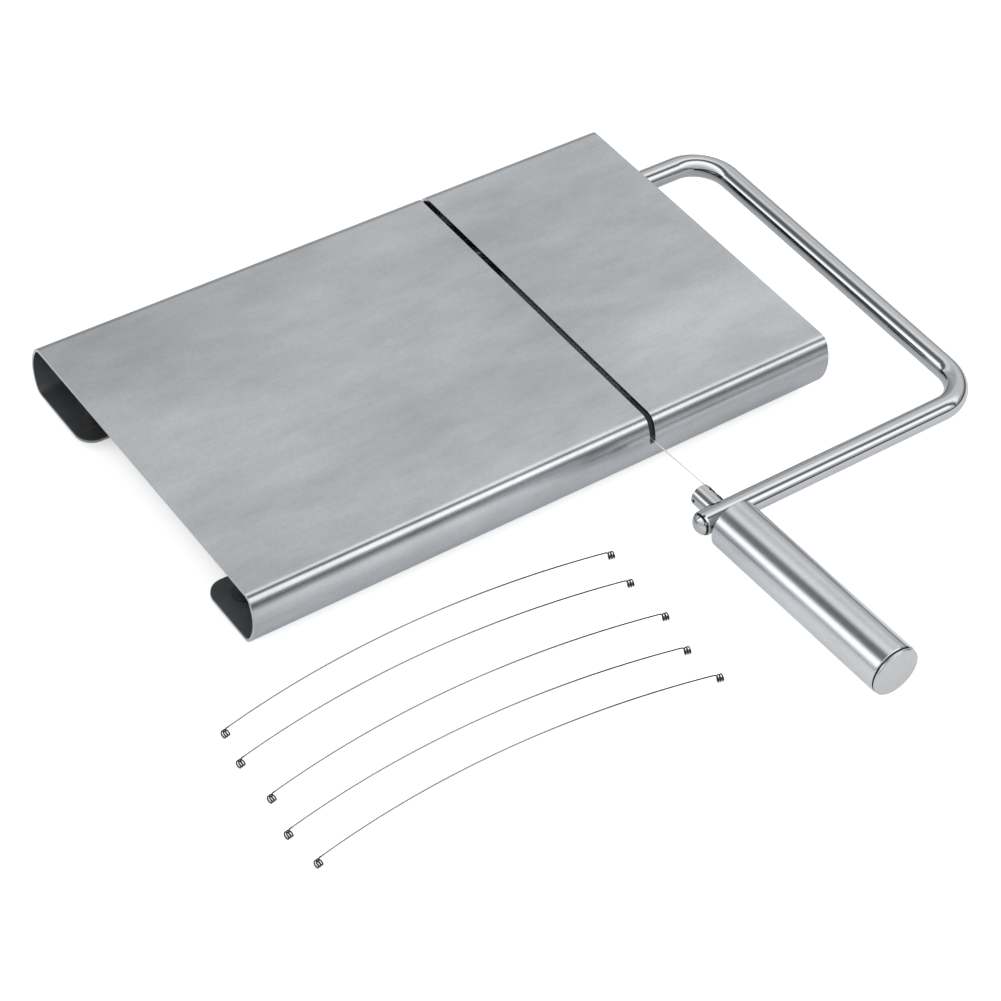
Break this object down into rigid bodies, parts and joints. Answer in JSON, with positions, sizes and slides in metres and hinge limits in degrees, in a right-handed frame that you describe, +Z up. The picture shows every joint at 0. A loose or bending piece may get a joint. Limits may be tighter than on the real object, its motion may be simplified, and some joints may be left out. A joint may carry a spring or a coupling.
{
  "type": "wire cheese slicer board",
  "caption": "Folded steel cheese board with a slot, a hinged round-bar arm with a screw-tensioned cutting wire, rubber feet and spare wires.",
  "frame": {"origin": "under the middle of the front left foot, on the table plane that the feet stand on", "axes": "+X along the board to the arm's side, +Y from the handle to the rear, +Z up"},
  "size_m": [0.2857, 0.2484, 0.0252],
  "materials": {
    "deck_steel": "satin, fine brushing along the board",
    "bracket_steel": "satin",
    "rivet_steel": "bright",
    "bush_nylon": "smooth",
    "arm_steel": "polished stainless steel",
    "clip_steel": "spring steel, bright",
    "wire_steel": "drawn stainless steel",
    "cutting_wire_steel": "drawn stainless steel, bright",
    "holder_steel": "turned and polished",
    "handle_steel": "satin",
    "insert_steel": "turned",
    "cap_steel": "satin, turned face",
    "foot_rubber": "matt black"
  },
  "bodies": {
    "board": {"deck_board": "deck_steel", "hinge_bracket_inner": "bracket_steel", "hinge_bracket_outer": "bracket_steel", "bracket_rivets": "rivet_steel", "bush_inner": "bush_nylon", "bush_outer": "bush_nylon", "foot_front_left": "foot_rubber", "foot_front_right": "foot_rubber", "foot_rear_left": "foot_rubber", "foot_rear_right": "foot_rubber", "spare_wire_1": "wire_steel", "spare_wire_2": "wire_steel", "spare_wire_3": "wire_steel", "spare_wire_4": "wire_steel", "spare_wire_5": "wire_steel"},
    "arm": {"arm_rod": "arm_steel", "clip_inner": "clip_steel", "clip_outer": "clip_steel", "cutting_wire": "cutting_wire_steel"},
    "handle": {"handle_tube": "handle_steel", "handle_insert": "insert_steel", "handle_cap": "cap_steel"},
    "holder": {"wire_holder": "holder_steel"}
  },
  "joints": [
    {"name": "arm_pivot", "type": "hinge", "parent": "board", "child": "arm", "pos_m": [0.101, 0.0868, 0.01425], "axis": [-1, 0, 0], "range_deg": [0, 150]},
    {"name": "handle_turn", "type": "hinge", "parent": "arm", "child": "handle", "pos_m": [0.1392, -0.0547, 0.01264], "axis": [0, -0.9988, 0.0497], "range_deg": [0, 720]},
    {"name": "holder_slide", "type": "slide", "parent": "arm", "child": "holder", "axis": [0, 0.9988, -0.0497], "range_m": [0, 0.0014]}
  ],
  "couplings": [
    {"joint": "holder_slide", "follows": "handle_turn", "m_per_rad": 0.00011141}
  ]
}
